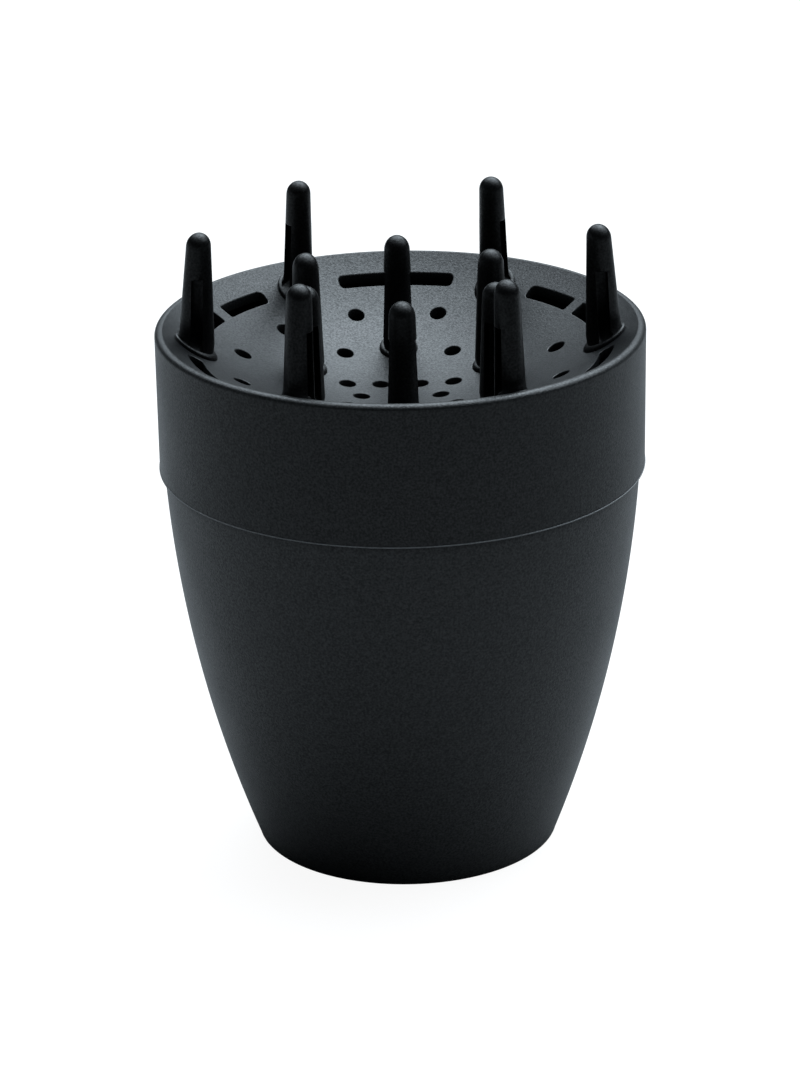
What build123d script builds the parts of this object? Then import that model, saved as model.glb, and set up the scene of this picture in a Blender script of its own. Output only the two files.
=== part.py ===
from build123d import *
from collections import namedtuple
import math
import os

# Hair dryer diffuser: a cup that pushes onto the dryer's nozzle by its narrow end.
# Millimetres, +Z up along the cup's axis, origin at the centre of the base.

# ---- front cap: the upper band, its rim and the perforated dish, one moulding ----
crest_z = 122.5            # height of the rim above the base
rim_radius = 55.0          # outside of the band at the rim
rim_round = 0.8
band_height = 32.4
band_foot_radius = 54.85   # outside of the band at its lower edge
band_inner_radius = 52.95
band_foot_round = 0.35

dish_radius = 90.0         # the dish is part of a hollow sphere
dish_depth = 17.4          # from the rim down to the middle of the dish
plate_thickness = 2.0
dish_centre = (0, 0, crest_z - dish_depth + dish_radius)

hole_radius = 1.85
hole_rings = [             # ring radius, number of holes, angle of the first hole
    (8.9, 6, 0),
    (13.85, 6, 30),
    (24.6, 6, 0),
    (36.7, 12, 15),
]

slot_mid_radius = 46.4
slot_width = 3.3
long_slot = (73.4, 106.6)  # start and end angles, in degrees
short_slot = (131.0, 148.0)
side_slot = (152.0, 171.5)

boss_ring_radius = 19.0    # three bosses under the dish carry the air spreader
boss_count = 3
boss_radius = 2.4
boss_foot_z = crest_z - 30.0
boss_pilot_depth = 9.6

# ---- lower shell: the tapered cup below the band ----
seam_z = crest_z - band_height
shell_top_radius = 53.8
shell_waist = (47.9, crest_z - 76.7)   # radius and height halfway down
base_radius = 34.7
base_round = 0.7
shell_wall = 2.35
base_thickness = 3.0
base_opening_radius = 28.5
spigot_radius = 52.85
spigot_wall = 2.0
spigot_height = 10.0
spigot_skirt = 8.0         # how far the straight inner wall runs on below the seam
floor_inset = 1.4          # from the base's outer edge in to the foot of the inner wall
bead_height = 0.4          # the snap bead on the spigot and its groove in the band
bead_half_width = 0.9
bead_root = 0.5            # how deep the bead is rooted in the spigot's wall
bead_z = seam_z + 5.0

# ---- fingers ----
Finger = namedtuple(
    "Finger",
    "foot_ring tip_ring tip_z tip_radius dome_height base_radial base_across "
    "foot_radius groove_drop first_angle",
)
outer_fingers = Finger(
    foot_ring=45.7,        # distance from the cup's axis where the finger stands on the dish
    tip_ring=44.3,         # and at its tip, which leans in a little
    tip_z=crest_z + 22.2,
    tip_radius=2.8,
    dome_height=3.1,
    base_radial=4.15,      # half-widths where the finger meets the dish
    base_across=3.4,
    foot_radius=4.7,
    groove_drop=10.2,      # from the tip down to the top of the side grooves
    first_angle=0,
)
inner_fingers = Finger(
    foot_ring=24.1,
    tip_ring=24.1,
    tip_z=crest_z + 13.1,
    tip_radius=2.95,
    dome_height=3.4,
    base_radial=3.85,
    base_across=3.75,
    foot_radius=4.4,
    groove_drop=8.6,
    first_angle=30,
)
fingers_per_ring = 6
groove_width = 2.55
web_thickness = 1.4        # left between the two side grooves
foot_height = 1.0
stem_radius = 1.9
barb_radius = 2.6
barb_tip_radius = 1.3
barb_height = 2.6

# ---- grip collar, its clamping ring and hoop ----
collar_bore_radius = 26.0
collar_mouth_z = 0.6
collar_straight_top_z = 10.0
collar_top_z = 26.0
petal_tip_radius = 21.0
petal_wall = 1.9
petal_count = 8
petal_slit = 1.6
petal_slit_foot_z = 11.5
collar_sleeve_radius = 28.3
collar_flange_radius = 33.0
collar_flange_thickness = 1.6
ring_thickness = 1.6
ring_inner_radius = 28.6
hoop_z = 22.0
hoop_wire_radius = 0.6
hoop_gap = 4.0

# ---- air spreader ----
spreader_radius = 23.0
spreader_flat_radius = 15.0
spreader_depth = 11.0
spreader_thickness = 1.6

# ---- screws ----
screw_shaft_radius = 1.0
screw_head_radius = 1.9
screw_head_height = 1.3
screw_head_edge = 0.35     # bevel round the top of the head
screw_recess_length = 2.2
screw_recess_width = 0.5
screw_recess_depth = 0.6
screw_tip_room = 0.3       # left under the screw's point in its pilot hole
screw_ring_radius = 30.9
ring_screw_count = 4
ring_screw_length = 4.6
spreader_screw_length = 9.0

running_gap = 0.05         # radial room round a screw or a stem in its hole
through_gap = 0.25         # radial room where a screw only passes through


def polar(radius, angle, z=0.0):
    """A point at a radius and an angle in degrees round the axis."""
    turn = math.radians(angle)
    return (radius * math.cos(turn), radius * math.sin(turn), z)


def turned(*edges):
    """A solid of revolution from a closed outline of edges in (radius, height)."""
    return revolve(Plane.XZ * make_face(edges), Axis.Z)


def turned_outline(*points):
    """A solid of revolution from a closed outline of straight lines."""
    return turned(Polyline(*points, close=True))


def post(radius, low, high, at=(0, 0)):
    """A round post between two heights."""
    return Pos(at[0], at[1], low) * extrude(Circle(radius), high - low)


def ball(radius):
    """A ball about the dish's centre, turned so that its seam is clear of the fingers."""
    return Pos(*dish_centre) * Rot(0, 0, 90) * Sphere(radius)


def sphere_z(radius, distance):
    """Height of the underside of a ball about the dish's centre, at a distance from the axis."""
    return dish_centre[2] - math.sqrt(radius ** 2 - distance ** 2)


def sphere_arc(radius, inner, outer):
    """The outline of that ball between two distances from the axis."""
    middle = (inner + outer) / 2
    ends = [(distance, sphere_z(radius, distance)) for distance in (inner, middle, outer)]
    return ThreePointArc(*ends)


def rim_inner_edge():
    """Distance from the axis where the dish meets the level of the rim."""
    return math.sqrt(dish_radius ** 2 - (dish_radius - dish_depth) ** 2)


def slot_end(angle, outward, rounded):
    """One end of an arc slot; outward is the side that the slot ends on, +1 or -1."""
    inner = polar(slot_mid_radius - slot_width / 2, angle)
    outer = polar(slot_mid_radius + slot_width / 2, angle)
    if not rounded:
        return Line(inner, outer)
    reach = math.degrees(slot_width / 2 / slot_mid_radius)
    return ThreePointArc(inner, polar(slot_mid_radius, angle + outward * reach), outer)


def arc_slot(start, end, round_start=True, round_end=True):
    """An upright cutter for a slot that runs round the axis between two angles."""
    reach = math.degrees(slot_width / 2 / slot_mid_radius)
    first = start + reach if round_start else start
    last = end - reach if round_end else end
    middle = (first + last) / 2
    sides = []
    for radius in (slot_mid_radius - slot_width / 2, slot_mid_radius + slot_width / 2):
        sides.append(ThreePointArc(polar(radius, first), polar(radius, middle), polar(radius, last)))
    outline = make_face([sides[0], slot_end(last, 1, round_end), sides[1], slot_end(first, -1, round_start)])
    return Pos(0, 0, crest_z - dish_depth) * extrude(outline, dish_depth)


def air_slots():
    """Cutters for all the slots: two long ones, and a short and a side one in each quarter."""
    cutters = [arc_slot(*long_slot), Rot(0, 0, 180) * arc_slot(*long_slot)]
    quarter = [
        arc_slot(*short_slot, round_end=False),
        arc_slot(*side_slot, round_start=False),
    ]
    for cutter in quarter:
        opposite = mirror(cutter, Plane.YZ)
        for piece in (cutter, opposite):
            cutters.append(piece)
            cutters.append(mirror(piece, Plane.XZ))
    return cutters


def plate_holes():
    """Cutters for the round holes in the dish and for the fingers' stems."""
    low = crest_z - dish_depth - 2 * plate_thickness
    cutters = []
    for ring_radius, count, first in hole_rings:
        for index in range(count):
            x, y, _ = polar(ring_radius, first + index * 360 / count)
            cutters.append(post(hole_radius, low, crest_z, (x, y)))
    for finger in (outer_fingers, inner_fingers):
        for index in range(fingers_per_ring):
            x, y, _ = polar(finger.foot_ring, finger.first_angle + index * 360 / fingers_per_ring)
            cutters.append(post(stem_radius + running_gap, low, crest_z, (x, y)))
    return cutters


def snap_bead(height):
    """The turned bead on the spigot, or with more height its groove in the band."""
    return turned_outline(
        (spigot_radius - bead_root, bead_z - bead_half_width - bead_root),
        (spigot_radius + height, bead_z),
        (spigot_radius - bead_root, bead_z + bead_half_width + bead_root),
    )


def make_front_cap():
    """Band, rim and dish, with the spreader's bosses under the dish."""
    underside = dish_radius + plate_thickness
    round_start = rim_radius - rim_round
    middle = math.sqrt(0.5)
    rim_middle = (round_start + rim_round * middle, crest_z - rim_round * (1 - middle))
    foot_inner = band_foot_radius - band_foot_round
    foot_middle = (foot_inner + band_foot_round * middle, seam_z + band_foot_round * (1 - middle))
    cap = turned(
        sphere_arc(dish_radius, 0, rim_inner_edge()),
        Line((rim_inner_edge(), crest_z), (round_start, crest_z)),
        ThreePointArc((round_start, crest_z), rim_middle, (rim_radius, crest_z - rim_round)),
        Line((rim_radius, crest_z - rim_round), (band_foot_radius, seam_z + band_foot_round)),
        ThreePointArc((band_foot_radius, seam_z + band_foot_round), foot_middle, (foot_inner, seam_z)),
        Line((foot_inner, seam_z), (band_inner_radius, seam_z)),
        Line((band_inner_radius, seam_z), (band_inner_radius, sphere_z(underside, band_inner_radius))),
        sphere_arc(underside, 0, band_inner_radius),
        Line((0, sphere_z(underside, 0)), (0, sphere_z(dish_radius, 0))),
    )
    plate_middle = dish_radius + plate_thickness / 2
    for index in range(boss_count):
        x, y, _ = polar(boss_ring_radius, index * 360 / boss_count)
        top = sphere_z(plate_middle, boss_ring_radius)
        pilot_top = boss_foot_z + boss_pilot_depth
        cap += post(boss_radius, boss_foot_z, top, (x, y))
        cap -= post(screw_shaft_radius + running_gap, boss_foot_z, pilot_top, (x, y))
    cap -= snap_bead(bead_height + 2 * running_gap)
    return cap - plate_holes() - air_slots()


def make_lower_shell():
    """Tapered cup with a spigot that plugs into the band and a floor ring round the inlet."""
    spigot_top = seam_z + spigot_height
    spigot_inner = spigot_radius - spigot_wall
    inner_top_z = seam_z - spigot_skirt
    waist_radius, waist_z = shell_waist
    middle = math.sqrt(0.5)
    round_middle = (base_radius - base_round * (1 - middle), base_round * (1 - middle))
    inner_foot_radius = base_radius - floor_inset
    shell = turned(
        ThreePointArc((base_radius, base_round), (waist_radius, waist_z), (shell_top_radius, seam_z)),
        Line((shell_top_radius, seam_z), (spigot_radius, seam_z)),
        Line((spigot_radius, seam_z), (spigot_radius, spigot_top)),
        Line((spigot_radius, spigot_top), (spigot_inner, spigot_top)),
        Line((spigot_inner, spigot_top), (spigot_inner, inner_top_z)),
        ThreePointArc(
            (spigot_inner, inner_top_z),
            (waist_radius - shell_wall, waist_z),
            (inner_foot_radius, base_thickness),
        ),
        Line((inner_foot_radius, base_thickness), (base_opening_radius, base_thickness)),
        Line((base_opening_radius, base_thickness), (base_opening_radius, 0)),
        Line((base_opening_radius, 0), (base_radius - base_round, 0)),
        ThreePointArc((base_radius - base_round, 0), round_middle, (base_radius, base_round)),
    )
    shell += snap_bead(bead_height)
    pilot_foot = ring_seat_z() + ring_thickness - ring_screw_length - screw_tip_room
    for x, y in ring_screw_places():
        shell -= post(screw_shaft_radius + running_gap, pilot_foot, base_thickness, (x, y))
    return shell


def oval(half_x, half_y, z):
    """A flat oval face at a height."""
    return Pos(0, 0, z) * make_face(Ellipse(half_x, half_y).edges())


def circle_at(radius, z):
    """A flat round face at a height."""
    return Pos(0, 0, z) * make_face(Circle(radius).edges())


def make_blade(finger, height, low):
    """The upright tapered body of a finger with its dome and both side grooves, foot at zero."""
    dome_z = height - finger.dome_height
    grow_radial = (finger.base_radial - finger.tip_radius) / dome_z
    grow_across = (finger.base_across - finger.tip_radius) / dome_z
    bottom = oval(
        finger.base_radial - grow_radial * low,
        finger.base_across - grow_across * low,
        low,
    )
    blade = loft([bottom, circle_at(finger.tip_radius, dome_z)])
    dome = turned(
        EllipticalCenterArc((0, dome_z), finger.tip_radius, finger.dome_height, arc_size=90),
        Line((0, height), (0, dome_z - finger.dome_height)),
        Line((0, dome_z - finger.dome_height), (finger.tip_radius, dome_z)),
    )
    blade += dome
    groove_top = height - finger.groove_drop
    groove_depth = finger.foot_radius
    for side in (-1, 1):
        centre_y = side * (web_thickness + groove_depth) / 2
        cutter = Box(groove_width, groove_depth, groove_top - low)
        blade -= Pos(0, centre_y, (low + groove_top) / 2) * cutter
    return blade


def make_finger(finger):
    """One push-in finger on the +X side: a leaning blade on a round foot, with a barbed stem."""
    ring = finger.foot_ring
    dish_z = sphere_z(dish_radius, ring)
    lean_in = ring - finger.tip_ring
    height = math.hypot(finger.tip_z - dish_z, lean_in)
    lean = math.degrees(math.asin(lean_in / height))
    low = -finger.foot_radius
    place = Pos(ring, 0, 0)
    blade = Pos(ring, 0, dish_z) * Rot(0, -lean, 0) * make_blade(finger, height, low)
    foot = place * post(finger.foot_radius, dish_z + low, dish_z + finger.foot_radius)
    foot = (foot & ball(dish_radius)) - ball(dish_radius - foot_height)
    shape = (blade & ball(dish_radius)) + foot

    underside = dish_radius + plate_thickness + running_gap
    barb_top = sphere_z(underside, ring) + barb_radius
    barb_foot = sphere_z(underside, ring) - barb_height
    shape += place * post(stem_radius, barb_foot + barb_height / 2, dish_z + foot_height / 2)
    barb = place * turned_outline(
        (0, barb_foot),
        (barb_tip_radius, barb_foot),
        (barb_radius, barb_foot + barb_height / 2),
        (barb_radius, barb_top),
        (0, barb_top),
    )
    return shape + (barb - ball(underside))


def petal_radius(z):
    """Inside radius of the petals at a height."""
    share = (z - collar_straight_top_z) / (collar_top_z - collar_straight_top_z)
    return collar_bore_radius + share * (petal_tip_radius - collar_bore_radius)


def hoop_radius():
    """Radius of the wire hoop's centre line, half sunk in the petals."""
    return petal_radius(hoop_z) + petal_wall + hoop_wire_radius / 4


def make_grip_collar():
    """Soft collar: a flange, a straight sleeve and slit petals that close on the nozzle."""
    flange_top = ring_seat_z()
    collar = turned_outline(
        (collar_bore_radius, collar_mouth_z),
        (collar_sleeve_radius, collar_mouth_z),
        (collar_sleeve_radius, base_thickness),
        (collar_flange_radius, base_thickness),
        (collar_flange_radius, flange_top),
        (collar_sleeve_radius, flange_top),
        (collar_bore_radius + petal_wall, collar_straight_top_z),
        (petal_tip_radius + petal_wall, collar_top_z),
        (petal_tip_radius, collar_top_z),
        (collar_bore_radius, collar_straight_top_z),
    )
    slit_height = collar_top_z - petal_slit_foot_z + petal_wall
    for index in range(petal_count):
        slit = Pos(collar_bore_radius, 0, petal_slit_foot_z + slit_height / 2) * Box(
            2 * collar_bore_radius - petal_tip_radius, petal_slit, slit_height
        )
        collar -= Rot(0, 0, (index + 0.5) * 360 / petal_count) * slit
    collar -= Pos(0, 0, hoop_z) * Torus(hoop_radius(), hoop_wire_radius + running_gap)
    for x, y in ring_screw_places():
        collar -= post(screw_shaft_radius + through_gap, base_thickness, flange_top, (x, y))
    return collar


def make_grip_hoop():
    """Open wire hoop that squeezes the petals together."""
    hoop = Pos(0, 0, hoop_z) * Torus(hoop_radius(), hoop_wire_radius)
    opening = Pos(hoop_radius(), 0, hoop_z) * Box(4 * hoop_wire_radius, hoop_gap, 4 * hoop_wire_radius)
    return hoop - opening


def ring_seat_z():
    """Top of the collar's flange, where the clamping ring sits."""
    return base_thickness + collar_flange_thickness


def ring_screw_places():
    """Where the clamping ring's screws stand."""
    places = []
    for index in range(ring_screw_count):
        x, y, _ = polar(screw_ring_radius, (index + 0.5) * 360 / ring_screw_count)
        places.append((x, y))
    return places


def make_collar_ring():
    """Flat ring that clamps the collar's flange to the shell's floor."""
    low = ring_seat_z()
    high = low + ring_thickness
    ring = post(collar_flange_radius, low, high) - post(ring_inner_radius, low, high)
    for x, y in ring_screw_places():
        ring -= post(screw_shaft_radius + through_gap, low, high, (x, y))
    return ring


def make_air_spreader():
    """Shallow cone that turns the blast outwards, hung on the three bosses."""
    top = boss_foot_z
    spreader = turned_outline(
        (0, top - spreader_depth),
        (spreader_flat_radius, top - spreader_thickness),
        (spreader_radius, top - spreader_thickness),
        (spreader_radius, top),
        (spreader_flat_radius - spreader_thickness / 2, top),
        (0, top - spreader_depth + spreader_thickness),
    )
    for index in range(boss_count):
        x, y, _ = polar(boss_ring_radius, index * 360 / boss_count)
        spreader -= post(screw_shaft_radius + through_gap, top - spreader_thickness, top, (x, y))
    return spreader


def make_screw(length):
    """Pan-head screw on the axis, head up, with the underside of its head at zero."""
    screw = turned_outline(
        (0, -length),
        (screw_shaft_radius / 2, -length),
        (screw_shaft_radius, -length + screw_shaft_radius),
        (screw_shaft_radius, 0),
        (screw_head_radius, 0),
        (screw_head_radius, screw_head_height - screw_head_edge),
        (screw_head_radius - screw_head_edge, screw_head_height),
        (0, screw_head_height),
    )
    slot = Box(screw_recess_length, screw_recess_width, 2 * screw_recess_depth)
    recess = slot + Rot(0, 0, 90) * slot
    return screw - Pos(0, 0, screw_head_height) * recess


def make_ring_screws():
    """The clamping ring's screws, head up inside the cup."""
    seat = ring_seat_z() + ring_thickness
    return [Pos(x, y, seat) * make_screw(ring_screw_length) for x, y in ring_screw_places()]


def make_spreader_screws():
    """The spreader's screws, head down, in the bosses under the dish."""
    seat = boss_foot_z - spreader_thickness
    screws = []
    for index in range(boss_count):
        x, y, _ = polar(boss_ring_radius, index * 360 / boss_count)
        screws.append(Pos(x, y, seat) * Rot(180, 0, 0) * make_screw(spreader_screw_length))
    return screws


def save(shape, node):
    """Write one node's STEP file."""
    export_step(shape, f"parts/{node}.step")


def main():
    os.makedirs("parts", exist_ok=True)
    save(make_front_cap(), "front_cap")
    save(make_lower_shell(), "lower_shell")
    save(make_grip_collar(), "grip_collar")
    save(make_grip_hoop(), "grip_hoop")
    save(make_collar_ring(), "collar_ring")
    save(make_air_spreader(), "air_spreader")
    save(Compound(children=make_ring_screws()), "ring_screws")
    save(Compound(children=make_spreader_screws()), "spreader_screws")
    outer = make_finger(outer_fingers)
    inner = make_finger(inner_fingers)
    for index in range(fingers_per_ring):
        turn = index * 360 / fingers_per_ring
        save(Rot(0, 0, turn + outer_fingers.first_angle) * outer, f"outer_finger_{index + 1}")
        save(Rot(0, 0, turn + inner_fingers.first_angle) * inner, f"inner_finger_{index + 1}")


main()
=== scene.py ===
import math

import bmesh
import bpy
from mathutils import Matrix, Vector
from mathutils.geometry import delaunay_2d_cdt


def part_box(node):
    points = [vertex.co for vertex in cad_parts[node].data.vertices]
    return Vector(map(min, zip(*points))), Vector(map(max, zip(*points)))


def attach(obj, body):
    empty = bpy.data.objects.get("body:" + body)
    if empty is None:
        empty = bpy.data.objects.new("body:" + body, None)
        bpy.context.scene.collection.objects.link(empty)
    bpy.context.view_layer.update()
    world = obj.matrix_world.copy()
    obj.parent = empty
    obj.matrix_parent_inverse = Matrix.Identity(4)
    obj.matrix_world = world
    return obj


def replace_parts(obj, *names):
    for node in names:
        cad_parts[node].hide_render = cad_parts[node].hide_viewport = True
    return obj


# Hair dryer diffuser. Outlines are worked out in millimetres in the CAD frame and turned
# into metres where a mesh is made. Angles are in degrees unless a name or a comment says otherwise.

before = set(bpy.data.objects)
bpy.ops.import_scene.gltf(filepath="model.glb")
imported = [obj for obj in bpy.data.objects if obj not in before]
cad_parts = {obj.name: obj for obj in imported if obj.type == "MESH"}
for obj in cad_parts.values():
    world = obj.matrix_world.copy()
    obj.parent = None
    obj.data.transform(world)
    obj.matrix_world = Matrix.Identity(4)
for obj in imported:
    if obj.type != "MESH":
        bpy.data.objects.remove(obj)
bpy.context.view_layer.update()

MM = 0.001


def box_mm(node):
    """Lowest and highest corner of a CAD node in millimetres."""
    low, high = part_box(node)
    return low / MM, high / MM


CAP_LOW, CAP_HIGH = box_mm("front_cap")
SHELL_HIGH = box_mm("lower_shell")[1]
CREST_Z = CAP_HIGH.z
SEAM_Z = CAP_LOW.z
RIM_RADIUS = min(CAP_HIGH.x, CAP_HIGH.y, -CAP_LOW.x, -CAP_LOW.y)
SHELL_TOP_RADIUS = SHELL_HIGH.y

# dish
DISH_RADIUS = 90.0
DISH_DEPTH = 17.4
PLATE_THICKNESS = 2.0
DISH_CENTRE = Vector((0.0, 0.0, CREST_Z - DISH_DEPTH + DISH_RADIUS))
HOLE_RADIUS = 1.85
# rings of round holes: radius of the ring, number of holes, angle of the first
HOLE_RINGS = ((8.9, 6, 0), (13.85, 6, 30), (24.6, 6, 0), (36.7, 12, 15))
HOLE_STEPS = 36
SLOT_MID_RADIUS = 46.4
SLOT_WIDTH = 3.3
SLOT_CORNER = 1.2          # rounding of a slot's free end
SQUARE_CORNER = 0.45       # rounding of the ends where two slots face each other
LONG_SLOT = (73.4, 106.6)  # first and last angle round the axis
SHORT_SLOT = (131.0, 148.0)
SIDE_SLOT = (152.0, 171.5)
SLOT_STEP = 1.1            # distance between points along a slot's long sides
CORNER_STEPS = 6
EDGE_ROUND = 0.22          # rounding of every hole's edges
EDGE_STEPS = 3
FILL_SPACING = 1.5         # distance between the points that fill the dish
FILL_CLEARANCE = 0.75      # and how far they stay from the outlines
STEM_HOLE_RADIUS = 1.95
STEM_HOLE_STEPS = 20
OUTER_FOOT_RING = 45.7
INNER_FOOT_RING = 24.1
FINGERS_PER_RING = 6
INNER_FIRST_ANGLE = 30

# band
BAND_INNER_RADIUS = 52.95
BAND_DRAFT = 0.15          # how much narrower the band is at its foot
RIM_ROUND = 1.2            # height of the rim's rounded edge
RIM_CROWN = 1.3            # and its width
RIM_STEPS = 10
BAND_LIP = 0.14            # the parting line stands out by this much at the band's foot
BAND_LIP_HEIGHT = 0.22     # height of its outer face
BAND_LIP_RISE = 0.05       # and of its sloping top
BAND_FOOT_ROUND = 0.08
BAND_SEGMENTS = 224

# bosses under the dish
BOSS_COUNT = 3
BOSS_RING_RADIUS = 19.0
BOSS_RADIUS = 2.4
BOSS_FOOT_Z = CREST_Z - 30.0
BOSS_CHAMFER = 0.3
BOSS_PILOT_DEPTH = 9.6
BOSS_PILOT_RADIUS = 1.05
BOSS_SEGMENTS = 32

# values of the cap's "surface" layer: the dish's two faces
TOP_SURFACE = 1
UNDER_SURFACE = 2

SHARP_ANGLE = 38           # edges bent by more than this stay sharp
FINGER_SHARP_ANGLE = 32
TINY = 1e-6


def sphere_z(radius, distance):
    """Height of the underside of a ball about the dish's centre, at a distance from the axis."""
    return DISH_CENTRE.z - math.sqrt(radius ** 2 - distance ** 2)


def polar(radius, degrees):
    """A flat point at a radius and an angle round the axis."""
    turn = math.radians(degrees)
    return radius * math.cos(turn), radius * math.sin(turn)


# ---------------------------------------------------------------- mesh helpers


def finish_mesh(name, bm, sharp_degrees=SHARP_ANGLE):
    """A new object from a bmesh in millimetres, outward normals, smooth but for sharp edges."""
    bmesh.ops.recalc_face_normals(bm, faces=bm.faces)
    bmesh.ops.scale(bm, vec=(MM, MM, MM), verts=bm.verts)
    for face in bm.faces:
        face.smooth = True
    mesh = bpy.data.meshes.new(name)
    bm.to_mesh(mesh)
    bm.free()
    mesh.set_sharp_from_angle(angle=math.radians(sharp_degrees))
    piece = bpy.data.objects.new(name, mesh)
    bpy.context.scene.collection.objects.link(piece)
    return piece


def bridge(bm, first, second):
    """Quads between two closed rings of the same length; a ring of one vertex is a pole."""
    count = max(len(first), len(second))
    made = []
    for i in range(count):
        j = (i + 1) % count
        corners = [first[i % len(first)], first[j % len(first)]]
        corners += [second[j % len(second)], second[i % len(second)]]
        unique = []
        for corner in corners:
            if corner not in unique:
                unique.append(corner)
        if len(unique) > 2:
            made.append(bm.faces.new(unique))
    return made


def ring(bm, radius, z, segments):
    """A ring of vertices round the axis, or one vertex on it."""
    if radius < TINY:
        return [bm.verts.new((0, 0, z))]
    return [bm.verts.new((*polar(radius, 360 * i / segments), z)) for i in range(segments)]


def lathe(bm, outline, segments, closed=True):
    """Turns an outline of (radius, height) points round the axis."""
    rings = [ring(bm, radius, z, segments) for radius, z in outline]
    pairs = list(zip(rings, rings[1:]))
    if closed:
        pairs.append((rings[-1], rings[0]))
    for first, second in pairs:
        if len(first) > 1 or len(second) > 1:
            bridge(bm, first, second)
    return rings


def arc(centre, radius, start, end, steps):
    """Points on an arc in the plane of an outline, angles in degrees."""
    points = []
    for i in range(steps + 1):
        x, y = polar(radius, start + (end - start) * i / steps)
        points.append((centre[0] + x, centre[1] + y))
    return points


def rounded(corners, steps=4):
    """An outline from corners (radius, height, rounding), each corner cut by an arc."""
    points = []
    count = len(corners)
    for i, (x, y, rounding) in enumerate(corners):
        here = Vector((x, y))
        if rounding <= 0:
            points.append((x, y))
            continue
        before = (Vector(corners[i - 1][:2]) - here).normalized()
        after = (Vector(corners[(i + 1) % count][:2]) - here).normalized()
        half = before.angle(after) / 2
        reach = rounding / math.tan(half)
        centre = here + (before + after).normalized() * rounding / math.sin(half)
        start = here + before * reach - centre
        end = here + after * reach - centre
        for step in range(steps + 1):
            points.append(tuple(centre + start.slerp(end, step / steps).normalized() * rounding))
    return points


# ---------------------------------------------------------------- front cap


def round_hole(ring_radius, degrees, radius, steps=HOLE_STEPS):
    """Outline function and inside test of a round hole."""
    x, y = polar(ring_radius, degrees)

    def outline(grow):
        spokes = [polar(radius + grow, 360 * i / steps) for i in range(steps)]
        return [(x + dx, y + dy) for dx, dy in spokes]

    def contains(px, py):
        return math.hypot(px - x, py - y) < radius

    return outline, contains


def slot_hole(start, end, start_corner, end_corner):
    """Outline function and inside test of an arc slot between two angles in degrees."""
    first = math.radians(start) * SLOT_MID_RADIUS
    last = math.radians(end) * SLOT_MID_RADIUS
    half = SLOT_WIDTH / 2
    side_steps = max(4, round((last - first) / SLOT_STEP))

    def bent(s, t):
        turn = s / SLOT_MID_RADIUS
        return (SLOT_MID_RADIUS + t) * math.cos(turn), (SLOT_MID_RADIUS + t) * math.sin(turn)

    def outline(grow):
        a, b = start_corner + grow, end_corner + grow
        low, high = first - grow, last + grow
        edge = half + grow
        points = arc((low + a, -edge + a), a, 180, 270, CORNER_STEPS)
        points += side(low + a, high - b, -edge)
        points += arc((high - b, -edge + b), b, 270, 360, CORNER_STEPS)
        points += arc((high - b, edge - b), b, 0, 90, CORNER_STEPS)
        points += side(high - b, low + a, edge)
        points += arc((low + a, edge - a), a, 90, 180, CORNER_STEPS)
        flat = [p for i, p in enumerate(points) if math.dist(p, points[i - 1]) > TINY]
        return [bent(s, t) for s, t in reversed(flat)]

    def side(begin, finish, t):
        return [(begin + (finish - begin) * i / side_steps, t) for i in range(1, side_steps)]

    def contains(px, py):
        s = math.atan2(py, px) * SLOT_MID_RADIUS
        full = 2 * math.pi * SLOT_MID_RADIUS
        while s < first - half:
            s += full
        return first < s < last and abs(math.hypot(px, py) - SLOT_MID_RADIUS) < half

    return outline, contains


def dish_holes():
    """Every hole through the dish: rings of round holes, finger seats and arc slots."""
    holes = []
    for ring_radius, count, first in HOLE_RINGS:
        for i in range(count):
            holes.append(round_hole(ring_radius, first + 360 * i / count, HOLE_RADIUS))
    for ring_radius, first in ((OUTER_FOOT_RING, 0), (INNER_FOOT_RING, INNER_FIRST_ANGLE)):
        for i in range(FINGERS_PER_RING):
            degrees = first + 360 / FINGERS_PER_RING * i
            holes.append(round_hole(ring_radius, degrees, STEM_HOLE_RADIUS, STEM_HOLE_STEPS))
    for turn in (0, 180):
        holes.append(slot_hole(LONG_SLOT[0] + turn, LONG_SLOT[1] + turn, SLOT_CORNER, SLOT_CORNER))
        for slot, first_corner, last_corner in (
            (SHORT_SLOT, SLOT_CORNER, SQUARE_CORNER),
            (SIDE_SLOT, SQUARE_CORNER, SLOT_CORNER),
        ):
            start, end = slot[0] + turn, slot[1] + turn
            holes.append(slot_hole(start, end, first_corner, last_corner))
            mirrored_start, mirrored_end = 180 - slot[1] + turn, 180 - slot[0] + turn
            holes.append(slot_hole(mirrored_start, mirrored_end, last_corner, first_corner))
    return holes


def dish_triangles(holes, edge_radius):
    """Flat triangles that fill the dish between its holes: points, faces, boundary and hole loops."""
    points = [Vector(polar(edge_radius, 360 * i / BAND_SEGMENTS)) for i in range(BAND_SEGMENTS)]
    loops = [list(range(BAND_SEGMENTS))]
    for outline, _ in holes:
        start = len(points)
        points += [Vector(p) for p in outline(EDGE_ROUND)]
        loops.append(list(range(start, len(points))))
    fixed = [tuple(p) for p in points]
    rings = int((edge_radius - 1) / FILL_SPACING)
    for k in range(rings + 1):
        radius = k * FILL_SPACING
        count = max(1, round(2 * math.pi * radius / FILL_SPACING))
        for i in range(count):
            candidate = polar(radius, 360 * (i + 0.5 * (k % 2)) / count)
            inside = any(contains(*candidate) for _, contains in holes)
            if not inside and min(math.dist(candidate, p) for p in fixed) > FILL_CLEARANCE:
                points.append(Vector(candidate))
    found, _, faces, origins, _, owners = delaunay_2d_cdt(points, [], loops, 1, 1e-7)
    place = {}
    for index, sources in enumerate(origins):
        for source in sources:
            place[source] = index
    kept = [face for face, owner in zip(faces, owners) if list(owner) == [0]]
    return found, kept, [[place[i] for i in loop] for loop in loops]


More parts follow.
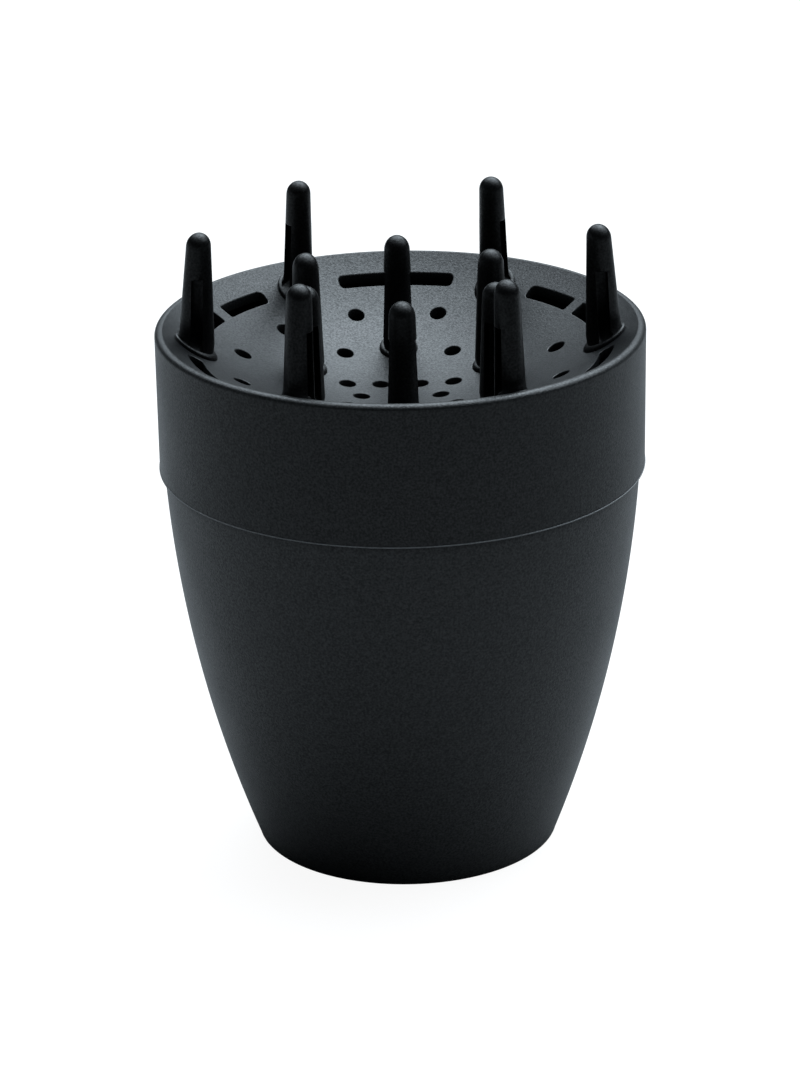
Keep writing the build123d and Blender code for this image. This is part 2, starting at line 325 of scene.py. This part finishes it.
def add_hole_walls(bm, top, under, holes, loops):
    """Walls of every hole, with rounded edges where they meet the dish's two faces."""
    under_radius = DISH_RADIUS + PLATE_THICKNESS
    for (outline, _), loop in zip(holes, loops):
        rings = [[top[i] for i in loop]]
        for step in range(1, EDGE_STEPS + 1):
            turn = math.radians(90 * step / EDGE_STEPS)
            drop = EDGE_ROUND * (1 - math.cos(turn))
            edge = outline(EDGE_ROUND * (1 - math.sin(turn)))
            heights = [sphere_z(DISH_RADIUS, math.hypot(x, y)) - drop for x, y in edge]
            rings.append([bm.verts.new((x, y, z)) for (x, y), z in zip(edge, heights)])
        for step in range(EDGE_STEPS, 0, -1):
            turn = math.radians(90 * step / EDGE_STEPS)
            rise = EDGE_ROUND * (1 - math.cos(turn))
            edge = outline(EDGE_ROUND * (1 - math.sin(turn)))
            heights = [sphere_z(under_radius, math.hypot(x, y)) + rise for x, y in edge]
            rings.append([bm.verts.new((x, y, z)) for (x, y), z in zip(edge, heights)])
        rings.append([under[i] for i in loop])
        for first, second in zip(rings, rings[1:]):
            bridge(bm, first, second)


def add_bosses(bm):
    """Screw bosses under the dish, each with a pilot hole."""
    plate_middle = sphere_z(DISH_RADIUS + PLATE_THICKNESS / 2, BOSS_RING_RADIUS)
    pilot_top = BOSS_FOOT_Z + BOSS_PILOT_DEPTH
    outline = [
        (0, plate_middle),
        (BOSS_RADIUS, plate_middle),
        (BOSS_RADIUS, BOSS_FOOT_Z + BOSS_CHAMFER),
        (BOSS_RADIUS - BOSS_CHAMFER, BOSS_FOOT_Z),
        (BOSS_PILOT_RADIUS, BOSS_FOOT_Z),
        (BOSS_PILOT_RADIUS, pilot_top),
        (0, pilot_top),
    ]
    for i in range(BOSS_COUNT):
        x, y = polar(BOSS_RING_RADIUS, 360 * i / BOSS_COUNT)
        rings = lathe(bm, outline, BOSS_SEGMENTS, closed=False)
        bmesh.ops.translate(bm, vec=(x, y, 0), verts=[vert for loop in rings for vert in loop])


def add_band(bm, dish_edge, under_edge):
    """Rim and band between the dish's two faces, the lip at its foot in the second material, a lighter grey
    that is a painted highlight line along the seam.
    """
    foot_radius = RIM_RADIUS - BAND_DRAFT
    lip_top = SEAM_Z + BAND_LIP_HEIGHT + BAND_LIP_RISE
    outline = rounded(
        [
            (RIM_RADIUS - 0.01, CREST_Z - RIM_ROUND - 0.4, 0),
            (foot_radius, lip_top, 0),
            (foot_radius + BAND_LIP, SEAM_Z + BAND_LIP_HEIGHT, 0),
            (foot_radius + BAND_LIP, SEAM_Z, BAND_FOOT_ROUND),
            (BAND_INNER_RADIUS + 0.4, SEAM_Z, 0),
            (BAND_INNER_RADIUS, SEAM_Z, 0),
            (BAND_INNER_RADIUS, SEAM_Z + 1, 0),
        ],
        steps=5,
    )
    crown = []
    for step in range(RIM_STEPS + 1):
        x, y = polar(1, 90 - 90 * step / RIM_STEPS)
        crown.append((RIM_RADIUS - RIM_CROWN + RIM_CROWN * x, CREST_Z - RIM_ROUND + RIM_ROUND * y))
    rings = [dish_edge]
    rings += [ring(bm, radius, z, BAND_SEGMENTS) for radius, z in crown + outline]
    rings.append(under_edge)
    for first, second in zip(rings, rings[1:]):
        # faces of the lip at the band's foot take the lighter material, a painted highlight
        painted_highlight = first[0].co.z < lip_top + 0.01 and first[0].co.xy.length > foot_radius - 0.05
        for face in bridge(bm, first, second):
            face.material_index = 1 if painted_highlight else 0


def build_front_cap():
    """Band, rim and perforated dish as one closed shell with rounded hole edges."""
    under_radius = DISH_RADIUS + PLATE_THICKNESS
    edge_radius = math.sqrt(DISH_RADIUS ** 2 - (DISH_RADIUS - DISH_DEPTH) ** 2)
    holes = dish_holes()
    flat, faces, loops = dish_triangles(holes, edge_radius)
    bm = bmesh.new()
    kind = bm.faces.layers.int.new("surface")
    boundary = set(loops[0])
    top, under = [], []
    for index, point in enumerate(flat):
        top.append(bm.verts.new((point.x, point.y, sphere_z(DISH_RADIUS, point.length))))
        inward = BAND_INNER_RADIUS / edge_radius if index in boundary else 1.0
        x, y = point.x * inward, point.y * inward
        under.append(bm.verts.new((x, y, sphere_z(under_radius, math.hypot(x, y)))))
    for face in faces:
        bm.faces.new([top[i] for i in face])[kind] = TOP_SURFACE
        bm.faces.new([under[i] for i in reversed(face)])[kind] = UNDER_SURFACE
    add_hole_walls(bm, top, under, holes, loops[1:])
    add_bosses(bm)
    add_band(bm, [top[i] for i in loops[0]], [under[i] for i in loops[0]])
    cap = finish_mesh("cap", bm)
    smooth_dish_normals(cap.data)
    return cap


def smooth_dish_normals(mesh):
    """Gives the dish's two faces the normals of the ball they lie on, right up to each hole's edge."""
    centre = DISH_CENTRE * MM
    kinds = mesh.attributes["surface"].data
    normals = [Vector(n.vector) for n in mesh.corner_normals]
    for polygon in mesh.polygons:
        kind = kinds[polygon.index].value
        if kind:
            for corner in polygon.loop_indices:
                away = (mesh.vertices[mesh.loops[corner].vertex_index].co - centre).normalized()
                normals[corner] = -away if kind == TOP_SURFACE else away
    mesh.normals_split_custom_set(normals)


# ---------------------------------------------------------------- lower shell

BASE_RADIUS = 34.7
BASE_ROUND = 0.7
BASE_THICKNESS = 3.0
BASE_OPENING_RADIUS = 28.5
WAIST_RADIUS = 47.9
WAIST_Z = CREST_Z - 76.7
SHELL_WALL = 2.35
SPIGOT_RADIUS = 52.85
SPIGOT_WALL = 2.0
SPIGOT_HEIGHT = 10.0
SPIGOT_ROOT = 8.0          # how far below the seam the wall inside the spigot begins to taper
FOOT_WALL = 1.4
SEAM_EDGE_WIDTH = 0.1      # chamfer on the shell's edge under the band
SEAM_EDGE_HEIGHT = 0.25
SHELL_CHAMFER = 0.3
SHELL_STEPS = 44
SHELL_INSIDE_STEPS = 24


def bowed(start, middle, end, steps):
    """Points on the arc through three points of an outline, ends included."""
    (ax, ay), (bx, by), (cx, cy) = start, middle, end
    a, b, c = ax ** 2 + ay ** 2, bx ** 2 + by ** 2, cx ** 2 + cy ** 2
    d = 2 * (ax * (by - cy) + bx * (cy - ay) + cx * (ay - by))
    ux = (a * (by - cy) + b * (cy - ay) + c * (ay - by)) / d
    uy = (a * (cx - bx) + b * (ax - cx) + c * (bx - ax)) / d
    radius = math.dist(start, (ux, uy))
    first = math.degrees(math.atan2(ay - uy, ax - ux))
    last = math.degrees(math.atan2(cy - uy, cx - ux))
    return arc((ux, uy), radius, first, last, steps)


def build_lower_shell():
    """Tapered cup with a rounded foot, a floor ring and the spigot that plugs into the band."""
    spigot_inner = SPIGOT_RADIUS - SPIGOT_WALL
    foot_inner = BASE_RADIUS - FOOT_WALL
    spigot_top = SEAM_Z + SPIGOT_HEIGHT
    chamfer = SHELL_CHAMFER
    opening = BASE_OPENING_RADIUS
    top = (SHELL_TOP_RADIUS, SEAM_Z)
    outside = bowed((BASE_RADIUS, BASE_ROUND), (WAIST_RADIUS, WAIST_Z), top, SHELL_STEPS)
    inner_waist = (WAIST_RADIUS - SHELL_WALL, WAIST_Z)
    inner_foot = (foot_inner, BASE_THICKNESS)
    inside = bowed((spigot_inner, SEAM_Z - SPIGOT_ROOT), inner_waist, inner_foot, SHELL_INSIDE_STEPS)
    foot = arc((BASE_RADIUS - BASE_ROUND, BASE_ROUND), BASE_ROUND, -90, 0, 5)
    outline = foot + outside[1:-1]
    outline += [(SHELL_TOP_RADIUS, SEAM_Z - SEAM_EDGE_HEIGHT), (SHELL_TOP_RADIUS - SEAM_EDGE_WIDTH, SEAM_Z)]
    outline += [(SPIGOT_RADIUS, SEAM_Z), (SPIGOT_RADIUS, spigot_top - chamfer)]
    outline += [(SPIGOT_RADIUS - chamfer, spigot_top), (spigot_inner, spigot_top)]
    outline += inside
    outline += [(opening + chamfer, BASE_THICKNESS), (opening, BASE_THICKNESS - chamfer)]
    outline += [(opening, chamfer), (opening + chamfer, 0)]
    bm = bmesh.new()
    lathe(bm, outline, BAND_SEGMENTS)
    return finish_mesh("cup", bm)


# ---------------------------------------------------------------- fingers

GROOVE_HALF = 1.275        # half the width of a side groove
WEB_HALF = 0.7             # half the web left between the two grooves
GROOVE_EASE = 0.3          # rounding where a groove's wall meets its floor
LIP_FLARE = 0.12           # and where it meets the finger's side
LIP_DEPTH = 0.15
FOOT_HEIGHT = 1.0
FOOT_ROUND = 0.9           # rounding of the foot's top edge, as a share of its height
FOOT_FILLET = 0.35
FOOT_STEPS = 5
FILLET_STEPS = 3
FLARE_IN_GROOVE = 0.6      # share of the fillet's flare that the groove's walls take up
FIRST_LEVEL = 1.2          # lowest level ring, above the highest point of the foot
SLOPING_SHARES = (0.35, 0.7)  # rings between the foot and that one
GROOVE_TOP_RISE = 0.2      # height over which the groove runs out
STEM_RADIUS = 1.9
BARB_RADIUS = 2.6
BARB_TIP_RADIUS = 1.3
BARB_HEIGHT = 2.6
BARB_CLEARANCE = 0.05      # gap between the barb and the dish's underside
SPACING_RADIUS = 3         # the round rings' points are spaced as on a plain outline of this radius
BODY_STEPS = 5
DOME_STEPS = 10
FLANGE_STEPS = 12
WALL_STEPS = 4
FLOOR_STEPS = 4


def groove_path(radius, half_width, half_web):
    """Down one wall of the side groove, along its floor and up the other wall, on the +Y side."""
    lip = math.sqrt(radius ** 2 - half_width ** 2)
    ease = GROOVE_EASE
    wall_top = lip - LIP_DEPTH
    wall_foot = half_web + ease
    path = [(half_width + LIP_FLARE, lip), (half_width, wall_top)]
    for i in range(1, WALL_STEPS):
        path.append((half_width, wall_top + (wall_foot - wall_top) * i / WALL_STEPS))
    path.append((half_width, wall_foot))
    path.append((half_width - ease * 0.3, half_web + ease * 0.3))
    for i in range(FLOOR_STEPS + 1):
        path.append((half_width - ease - (2 * half_width - 2 * ease) * i / FLOOR_STEPS, half_web))
    mirrored = [(-x, y) for x, y in reversed(path[:-FLOOR_STEPS - 1])]
    return path + mirrored


def section(radial, across, grooved, flare=0.0):
    """The finger's outline at one height; grooved runs from 0, plain oval, to 1, both grooves."""
    size = across + flare
    stretch = radial / across - 1
    lip_angle = math.degrees(math.acos((GROOVE_HALF + LIP_FLARE) / across))
    flange = [polar(size, -lip_angle + 2 * lip_angle * i / FLANGE_STEPS) for i in range(1, FLANGE_STEPS)]
    narrowing = flare * FLARE_IN_GROOVE
    cut = groove_path(size, GROOVE_HALF - narrowing, WEB_HALF + narrowing)
    points = [(x * (1 + stretch * x / size), y) for x, y in flange]
    for i, (x, y) in enumerate(cut):
        share = i / (len(cut) - 1)
        plain_x, plain_y = polar(size, lip_angle + (180 - 2 * lip_angle) * share)
        plain_x *= 1 + stretch * abs(plain_x) / size
        points.append((plain_x + (x - plain_x) * grooved, plain_y + (y - plain_y) * grooved))
    return points + [(-x, -y) for x, y in points]


def build_finger(name, node, shape):
    """One push-in finger: domed, tapered, grooved on both sides, with a foot and a barbed stem."""
    low, high = box_mm(node)
    middle = (low + high) / 2
    turn = math.atan2(middle.y, middle.x)
    foot_ring = shape["foot_ring"]
    foot_radius = shape["foot_radius"]
    base_radial = shape["base_radial"]
    tip_radius = shape["tip_radius"]
    tip_z = high.z
    dish_z = sphere_z(DISH_RADIUS, foot_ring)
    dome_z = tip_z - shape["dome_height"]
    groove_z = tip_z - shape["groove_drop"]
    under = DISH_RADIUS + PLATE_THICKNESS
    lean = (foot_ring - shape["tip_ring"]) / (tip_z - dish_z)
    bm = bmesh.new()

    def thick(z, base):
        return tip_radius + (base - tip_radius) * (dome_z - z) / (dome_z - dish_z)

    def cut_at(z, grooved, flare=0.0):
        return section(thick(z, base_radial), thick(z, shape["base_across"]), grooved, flare)

    # heights that follow the dish under the finger's foot
    def dish_at(x, y):
        return sphere_z(DISH_RADIUS, math.hypot(foot_ring + x, y))

    def foot_at(x, y):
        return sphere_z(DISH_RADIUS - FOOT_HEIGHT, math.hypot(foot_ring + x, y))

    def under_at(x, y):
        return sphere_z(under, math.hypot(foot_ring + x, y)) - BARB_CLEARANCE

    def add(points, height):
        return [bm.verts.new((x, y, height(x, y) if callable(height) else height)) for x, y in points]

    def leaning(points, height):
        return add([(x - lean * (height - dish_z), y) for x, y in points], height)

    # round rings have as many points as the grooved ones, spaced as on a plain outline
    circle = [math.atan2(y, x) for x, y in section(SPACING_RADIUS, SPACING_RADIUS, 0)]

    def round_points(radius):
        return [(radius * math.cos(a), radius * math.sin(a)) for a in circle]

    # barb and stem
    barb_foot = sphere_z(under, foot_ring) - BARB_HEIGHT
    rings = [add(round_points(BARB_TIP_RADIUS), barb_foot)]
    rings.append(add(round_points(BARB_RADIUS), barb_foot + BARB_HEIGHT / 2))
    rings.append(add(round_points(BARB_RADIUS), under_at))
    rings.append(add(round_points(STEM_RADIUS), under_at))
    rings.append(add(round_points(STEM_RADIUS), dish_at))

    # round foot, and the fillet up from it
    rings.append(add(round_points(foot_radius), dish_at))
    rounding = FOOT_HEIGHT * FOOT_ROUND
    for step in range(FOOT_STEPS + 1):
        angle = math.radians(90 * step / FOOT_STEPS)
        inset = rounding * (1 - math.cos(angle))
        drop = rounding * (1 - math.sin(angle))
        rings.append(add(round_points(foot_radius - inset), lambda x, y: foot_at(x, y) - drop))
    for step in range(FILLET_STEPS + 1):
        angle = math.radians(90 * step / FILLET_STEPS)
        flare = FOOT_FILLET * (1 - math.sin(angle))
        lift = FOOT_FILLET * (1 - math.cos(angle))
        if foot_radius - rounding > base_radial + flare:
            rings.append(add(cut_at(dish_z, 1, flare), lambda x, y: foot_at(x, y) + lift))

    # from the sloping foot up to the first level ring
    start = cut_at(dish_z, 1)
    slope = math.tan(math.asin(foot_ring / DISH_RADIUS))
    level = dish_z + slope * base_radial + FOOT_HEIGHT + FIRST_LEVEL
    for share in SLOPING_SHARES:
        points = cut_at(dish_z + (level - dish_z) * share, 1)
        heights = [(1 - share) * (foot_at(*p) + FOOT_FILLET) + share * level for p in start]
        rings.append([bm.verts.new((x - lean * (z - dish_z), y, z)) for (x, y), z in zip(points, heights)])

    # grooved body, plain top and dome
    for step in range(BODY_STEPS + 1):
        z = level + (groove_z - level) * step / BODY_STEPS
        rings.append(leaning(cut_at(z, 1), z))
    rings.append(leaning(cut_at(groove_z, 0.05), groove_z + 0.1 * GROOVE_TOP_RISE))
    plain_z = groove_z + GROOVE_TOP_RISE
    rings.append(leaning(cut_at(groove_z, 0), plain_z))
    for step in range(1, BODY_STEPS + 1):
        z = plain_z + (dome_z - plain_z) * step / BODY_STEPS
        rings.append(leaning(cut_at(z, 0), z))
    for step in range(1, DOME_STEPS):
        angle = math.radians(90 * step / DOME_STEPS)
        z = dome_z + shape["dome_height"] * math.sin(angle)
        rings.append(leaning(round_points(tip_radius * math.cos(angle)), z))
    rings.append(leaning([(0, 0)], tip_z))

    for first, second in zip(rings, rings[1:]):
        bridge(bm, first, second)
    bm.faces.new(list(reversed(rings[0])))
    bmesh.ops.translate(bm, vec=(foot_ring, 0, 0), verts=bm.verts)
    bmesh.ops.rotate(bm, cent=(0, 0, 0), matrix=Matrix.Rotation(turn, 3, "Z"), verts=bm.verts)
    return finish_mesh(name, bm, FINGER_SHARP_ANGLE)


OUTER_FINGER = {
    "foot_ring": OUTER_FOOT_RING,
    "tip_ring": 44.3,          # nearer the axis than the foot: the finger leans in
    "tip_radius": 2.8,
    "dome_height": 3.1,
    "base_radial": 4.15,       # half-thickness at the foot, towards the axis
    "base_across": 3.4,        # and across
    "foot_radius": 4.7,
    "groove_drop": 10.2,       # from the tip down to the top of the grooves
}
INNER_FINGER = {
    "foot_ring": INNER_FOOT_RING,
    "tip_ring": 24.1,
    "tip_radius": 2.95,
    "dome_height": 3.4,
    "base_radial": 3.85,
    "base_across": 3.75,
    "foot_radius": 4.4,
    "groove_drop": 8.6,
}


# ---------------------------------------------------------------- materials

PATCH_SCALE = 55           # noise scales are in cells per metre
WAVE_SCALE = 130
GRAIN_SCALE = 2600
GRAIN_DEPTH = 0.00009      # metres


def node_of(tree, kind, **inputs):
    """A new shader node with some of its inputs set or linked."""
    node = tree.nodes.new(kind)
    for key, value in inputs.items():
        socket = node.inputs[key.replace("_", " ")]
        if isinstance(value, bpy.types.NodeSocket):
            tree.links.new(value, socket)
        else:
            socket.default_value = value
    return node


def noise(tree, place, scale, detail, roughness=0.6):
    """Object-space noise with cells of about 1 / scale metres."""
    node = node_of(
        tree, "ShaderNodeTexNoise", Vector=place, Scale=scale, Detail=detail, Roughness=roughness
    )
    return node.outputs["Fac"]


def ramp(tree, factor, low, high, start=0.3, end=0.7):
    """A colour ramp between two colours."""
    node = node_of(tree, "ShaderNodeValToRGB", Fac=factor)
    node.color_ramp.elements[0].position = start
    node.color_ramp.elements[0].color = (*low, 1)
    node.color_ramp.elements[1].position = end
    node.color_ramp.elements[1].color = (*high, 1)
    return node.outputs["Color"]


def spread(tree, factor, low, high):
    """Noise turned into a number between two limits."""
    node = node_of(tree, "ShaderNodeMapRange", Value=factor)
    node.inputs["From Min"].default_value = 0.3
    node.inputs["From Max"].default_value = 0.7
    node.inputs["To Min"].default_value = low
    node.inputs["To Max"].default_value = high
    return node.outputs["Result"]


def new_material(name):
    """A new material, with its node tree, its shader and object coordinates."""
    material = bpy.data.materials.new(name)
    material.use_nodes = True
    tree = material.node_tree
    place = tree.nodes.new("ShaderNodeTexCoord").outputs["Object"]
    return material, tree, tree.nodes["Principled BSDF"], place


def moulded_plastic(name, dark, light, roughness, grain=GRAIN_SCALE, grain_depth=GRAIN_DEPTH, specular=0.5):
    """Black moulding with a spark-eroded grain, soft blotches in its sheen and a fine sparkle."""
    material, tree, shader, place = new_material(name)
    patches = noise(tree, place, PATCH_SCALE, 3)
    fine = noise(tree, place, grain, 2, 0.7)
    speckle = noise(tree, place, grain * 0.8, 1, 0.5)
    waves = noise(tree, place, WAVE_SCALE, 2)
    sheen = spread(tree, patches, roughness - 0.03, roughness + 0.03)
    sparkle = spread(tree, speckle, specular * 0.62, specular * 1.38)
    tree.links.new(ramp(tree, patches, dark, light), shader.inputs["Base Color"])
    tree.links.new(sheen, shader.inputs["Roughness"])
    tree.links.new(sparkle, shader.inputs["Specular IOR Level"])
    low = node_of(tree, "ShaderNodeBump", Strength=0.25, Distance=0.00006, Height=waves)
    high = node_of(tree, "ShaderNodeBump", Strength=0.8, Distance=grain_depth, Height=fine)
    tree.links.new(low.outputs["Normal"], high.inputs["Normal"])
    tree.links.new(high.outputs["Normal"], shader.inputs["Normal"])
    return material


def zinc(name):
    """Plated steel, patchy, with a fine tooth."""
    material, tree, shader, place = new_material(name)
    patches = noise(tree, place, 400, 3)
    fine = noise(tree, place, 4000, 2)
    tree.links.new(ramp(tree, patches, (0.42, 0.42, 0.44), (0.62, 0.62, 0.63)), shader.inputs["Base Color"])
    tree.links.new(spread(tree, fine, 0.25, 0.42), shader.inputs["Roughness"])
    bump = node_of(tree, "ShaderNodeBump", Strength=0.3, Distance=0.00002, Height=fine)
    tree.links.new(bump.outputs["Normal"], shader.inputs["Normal"])
    shader.inputs["Metallic"].default_value = 1.0
    return material


CAP_PLASTIC = moulded_plastic(
    "cap_plastic", (0.003, 0.0032, 0.0034), (0.005, 0.0053, 0.0056), 0.4, specular=0.22
)
SHELL_PLASTIC = moulded_plastic(
    "shell_plastic", (0.004, 0.0042, 0.0045), (0.006, 0.0064, 0.0068), 0.42, specular=0.28
)
# A much lighter grey for the lip at the band's foot: a painted highlight that draws the bright line along
# the seam.
SEAM_PAINTED_HIGHLIGHT = moulded_plastic(
    "seam_painted_highlight", (0.05, 0.0525, 0.055), (0.07, 0.0735, 0.077), 0.5, grain_depth=0.00003
)
FINGER_PLASTIC = moulded_plastic(
    "finger_plastic", (0.0006, 0.0006, 0.0007), (0.001, 0.001, 0.0011), 0.38,
    grain_depth=0.00004, specular=0.16,
)
INNER_PLASTIC = moulded_plastic(
    "inner_plastic", (0.014, 0.014, 0.015), (0.02, 0.02, 0.021), 0.55, grain=2000, grain_depth=0.00004
)
COLLAR_RUBBER = moulded_plastic(
    "collar_rubber", (0.012, 0.012, 0.013), (0.02, 0.02, 0.021), 0.72, 1800, 0.00004, specular=0.35
)
STEEL = zinc("zinc_plated_steel")


def dress(piece, materials):
    """Gives a new piece its materials and body."""
    for material in materials:
        piece.data.materials.append(material)
    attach(piece, "root")
    return piece


cap = dress(build_front_cap(), (CAP_PLASTIC, SEAM_PAINTED_HIGHLIGHT))
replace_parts(cap, "front_cap")
cup = dress(build_lower_shell(), (SHELL_PLASTIC,))
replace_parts(cup, "lower_shell")

for index in range(1, FINGERS_PER_RING + 1):
    outer = build_finger(f"tall_finger_{index}", f"outer_finger_{index}", OUTER_FINGER)
    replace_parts(dress(outer, (FINGER_PLASTIC,)), f"outer_finger_{index}")
    inner = build_finger(f"short_finger_{index}", f"inner_finger_{index}", INNER_FINGER)
    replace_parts(dress(inner, (FINGER_PLASTIC,)), f"inner_finger_{index}")

for node_name, material in (
    ("grip_collar", COLLAR_RUBBER),
    ("grip_hoop", STEEL),
    ("collar_ring", INNER_PLASTIC),
    ("air_spreader", INNER_PLASTIC),
    ("ring_screws", STEEL),
    ("spreader_screws", STEEL),
):
    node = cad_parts[node_name]
    node.data.materials.clear()
    node.data.materials.append(material)


# ---------------------------------------------------------------- floor, light, camera

FRAME_HEIGHT = 1066
SENSOR_HEIGHT = 24.0
FLOOR_GREY = (0.11, 0.13)          # darkest and lightest
FLOOR_GLOW = 0.92
BOUNCE_GREY = (0.2328, 0.2472)
BOUNCE_Z = 0.00005


def flat_sheet(name, half, z, greys, roughness, specular):
    """A square sheet, faintly clouded grey, and its shader; sizes in metres."""
    mesh = bpy.data.meshes.new(name)
    corners = [(-half, -half, z), (half, -half, z), (half, half, z), (-half, half, z)]
    mesh.from_pydata(corners, [], [(0, 1, 2, 3)])
    sheet = bpy.data.objects.new(name, mesh)
    bpy.context.scene.collection.objects.link(sheet)
    material, tree, shader, place = new_material(name)
    dark, light = [(grey, grey, grey) for grey in greys]
    tree.links.new(ramp(tree, noise(tree, place, 3, 2), dark, light), shader.inputs["Base Color"])
    shader.inputs["Roughness"].default_value = roughness
    shader.inputs["Specular IOR Level"].default_value = specular
    mesh.materials.append(material)
    return sheet, shader


def build_floor():
    """A large pale floor."""
    floor, shader = flat_sheet("floor", 4.0, 0, FLOOR_GREY, 0.9, 0.1)
    shader.inputs["Emission Color"].default_value = (1, 1, 1, 1)
    shader.inputs["Emission Strength"].default_value = FLOOR_GLOW
    floor.visible_glossy = False
    floor.visible_diffuse = False


def build_bounce():
    """A dim card just over the floor, unseen by the camera, that throws light up as a table does."""
    card, _ = flat_sheet("bounce", 1.5, BOUNCE_Z, BOUNCE_GREY, 1.0, 0.0)
    card.visible_camera = False
    card.visible_shadow = False


SOFT_LIGHTS = (              # azimuth, height and half-width, all in degrees, and strength
    (90, 60, 45, 6.0),       # the big softbox behind and above
    (30, 60, 45, 5.4),       # and its wing on the right
    (0, 90, 45, 0.9),        # overhead
    (90, -22, 50, 0.2),      # the pale wall and sweep behind
    (90, -20, 25, 1.15),
    (180, -22, 50, 0.46),    # and their spill to the sides
    (225, -22, 50, 0.1),
    (0, -55, 45, 0.16),      # light off the table, from low all round
    (60, -55, 45, 0.22),
    (20, -42, 32, 0.08),
    (120, -55, 45, 0.35),
    (180, -55, 45, 0.1),
)
SURROUNDINGS_TINT = (0.88, 1.0, 1.09)


def build_world():
    """Soft studio surroundings, bright behind and above the object and dim in front of it."""
    world = bpy.data.worlds.new("studio")
    bpy.context.scene.world = world
    world.use_nodes = True
    tree = world.node_tree
    direction = tree.nodes.new("ShaderNodeTexCoord").outputs["Generated"]
    total = None
    for azimuth, height, half_width, strength in SOFT_LIGHTS:
        flat_x, flat_y = polar(math.cos(math.radians(height)), azimuth)
        towards = node_of(tree, "ShaderNodeVectorMath")
        towards.operation = "DOT_PRODUCT"
        tree.links.new(direction, towards.inputs[0])
        towards.inputs[1].default_value = (flat_x, flat_y, math.sin(math.radians(height)))
        lobe = node_of(tree, "ShaderNodeMapRange", Value=towards.outputs["Value"])
        lobe.interpolation_type = "SMOOTHSTEP"
        lobe.inputs["From Min"].default_value = math.cos(math.radians(half_width))
        lobe.inputs["From Max"].default_value = 1.0
        lobe.inputs["To Min"].default_value = 0.0
        lobe.inputs["To Max"].default_value = strength
        if total is None:
            total = lobe.outputs["Result"]
        else:
            adder = node_of(tree, "ShaderNodeMath")
            adder.operation = "ADD"
            tree.links.new(total, adder.inputs[0])
            tree.links.new(lobe.outputs["Result"], adder.inputs[1])
            total = adder.outputs["Value"]
    tree.links.new(total, tree.nodes["Background"].inputs["Strength"])
    tree.nodes["Background"].inputs["Color"].default_value = (*SURROUNDINGS_TINT, 1)


CAMERA_HEIGHT = 18.58          # degrees above the rim's plane
CAMERA_AZIMUTH = 1.07
CAMERA_ROLL = -0.948
CAMERA_DISTANCE = 0.951        # metres from the middle of the rim
CAMERA_AIM = (-0.0008, -0.0503)  # metres right of the axis and above the rim
FOCAL_PIXELS = 4247            # focal length, in pixels of the 800 by 1066 frame


def build_camera():
    """A long lens a little above the rim, looking down into the dish."""
    elevation = math.radians(CAMERA_HEIGHT)
    azimuth = math.radians(CAMERA_AZIMUTH)
    roll = math.radians(CAMERA_ROLL)
    rim_centre = Vector((0, 0, CREST_Z * MM))
    aim = rim_centre + Vector((CAMERA_AIM[0], 0, CAMERA_AIM[1]))
    flat = math.cos(elevation)
    away = Vector((-math.sin(azimuth) * flat, -math.cos(azimuth) * flat, math.sin(elevation)))
    place = rim_centre + away * CAMERA_DISTANCE
    forward = (aim - place).normalized()
    right = forward.cross(Vector((0, 0, 1))).normalized()
    up = right.cross(forward)
    across = right * math.cos(roll) + up * math.sin(roll)
    upward = up * math.cos(roll) - right * math.sin(roll)
    data = bpy.data.cameras.new("camera")
    data.sensor_fit = "VERTICAL"
    data.sensor_height = SENSOR_HEIGHT
    data.lens = FOCAL_PIXELS * SENSOR_HEIGHT / FRAME_HEIGHT
    data.clip_start = 0.01
    camera = bpy.data.objects.new("camera", data)
    bpy.context.scene.collection.objects.link(camera)
    camera.matrix_world = Matrix((
        (across.x, upward.x, -forward.x, place.x),
        (across.y, upward.y, -forward.y, place.y),
        (across.z, upward.z, -forward.z, place.z),
        (0, 0, 0, 1),
    ))
    bpy.context.scene.camera = camera


build_floor()
build_bounce()
build_world()
build_camera()
bpy.context.scene.view_settings.view_transform = "Standard"
